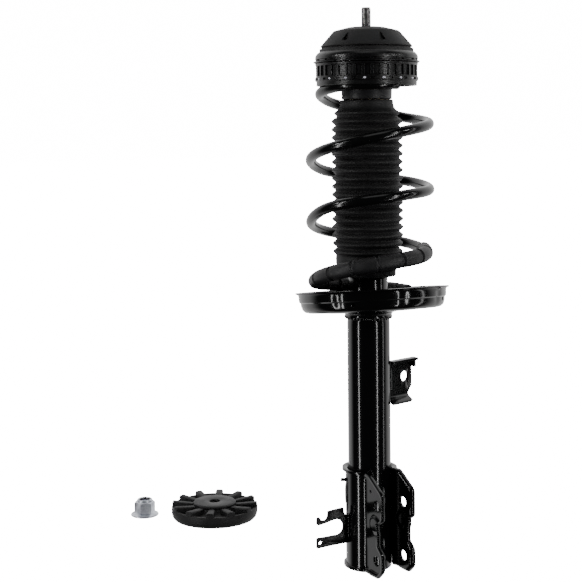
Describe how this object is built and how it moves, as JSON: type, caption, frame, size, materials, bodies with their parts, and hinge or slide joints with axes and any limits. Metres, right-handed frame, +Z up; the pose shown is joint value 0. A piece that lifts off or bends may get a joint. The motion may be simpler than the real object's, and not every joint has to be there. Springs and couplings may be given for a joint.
{
  "type": "macpherson strut assembly",
  "caption": "Front MacPherson strut: damper tube with knuckle, link and hose brackets, coil spring between seats, bellows boot, top bearing and rubber mount, with its loose stop disc and nut.",
  "frame": {"origin": "centre of the flat base of the strut tube, on the damper's axis", "axes": "+Z up the damper's axis to the threaded stud, -Y from the tube towards the steering knuckle, +X to the stabiliser link bracket's side"},
  "size_m": [0.2573, 0.4408, 0.667],
  "materials": {
    "black_paint": "gloss black paint on pressed and welded steel",
    "spring_paint": "gloss black powder coat on spring wire",
    "chrome": "hard chrome on the rod, bare thread at its top",
    "bare_steel": "machined and pressed bare steel",
    "zinc": "bright zinc plate",
    "rubber": "moulded black rubber, satin",
    "black_plastic": "moulded black nylon",
    "urethane": "microcellular polyurethane foam",
    "bronze": "sintered bronze",
    "nylon": "moulded nylon"
  },
  "bodies": {
    "strut": {"strut_tube": "black_paint", "tube_base": "black_paint", "inner_cylinder": "bare_steel", "foot_valve": "bare_steel", "rod_guide": "bare_steel", "guide_bushing": "bronze", "rod_seal": "rubber", "bump_cap": "black_plastic", "lower_spring_seat": "black_paint", "coil_spring": "spring_paint", "spring_sleeve": "rubber", "dust_boot": "rubber", "boot_retainer": "black_plastic", "knuckle_bracket": "black_paint", "link_bracket": "black_paint", "hose_bracket": "black_paint"},
    "spring_carrier": {"upper_spring_seat": "black_plastic", "upper_spring_pad": "rubber", "bearing_lower_race": "bare_steel", "bumper_housing": "black_plastic", "jounce_bumper": "urethane"},
    "bearing_cage": {"ball_cage": "nylon"},
    "top_mount": {"piston_rod": "chrome", "piston": "bare_steel", "piston_band": "nylon", "piston_valve_plate": "bare_steel", "rebound_stop": "rubber", "piston_nut": "bare_steel", "bearing_upper_race": "bare_steel", "bearing_cover": "black_plastic", "mount_plate": "bare_steel", "mount_rubber": "rubber", "mount_sleeve": "bare_steel", "rod_nut": "zinc"},
    "loose_disc": {"rebound_disc": "rubber", "disc_washer": "rubber"},
    "loose_nut": {"tower_nut": "zinc", "nut_locking_ring": "nylon"}
  },
  "joints": [
    {"name": "damper_stroke", "type": "slide", "parent": "strut", "child": "spring_carrier", "axis": [0, 0, 1], "range_m": [-0.125, 0], "stiffness_N_per_m": 20000, "springref_m": 0.02, "deforming": ["coil_spring", "spring_sleeve", "dust_boot"]},
    {"name": "bearing_turn", "type": "hinge", "parent": "spring_carrier", "child": "top_mount", "pos_m": [0, 0, 0.594], "axis": [0, 0, 1], "continuous": true},
    {"name": "cage_turn", "type": "hinge", "parent": "spring_carrier", "child": "bearing_cage", "pos_m": [0, 0, 0.594], "axis": [0, 0, 1], "continuous": true},
    {"name": "disc_lift", "type": "slide", "parent": "strut", "child": "loose_disc", "axis": [0, 0, 1], "range_m": [0, 0.1]},
    {"name": "nut_lift", "type": "slide", "parent": "strut", "child": "loose_nut", "axis": [0, 0, 1], "range_m": [0, 0.1]}
  ],
  "couplings": [
    {"joint": "cage_turn", "follows": "bearing_turn", "ratio": 0.5}
  ]
}
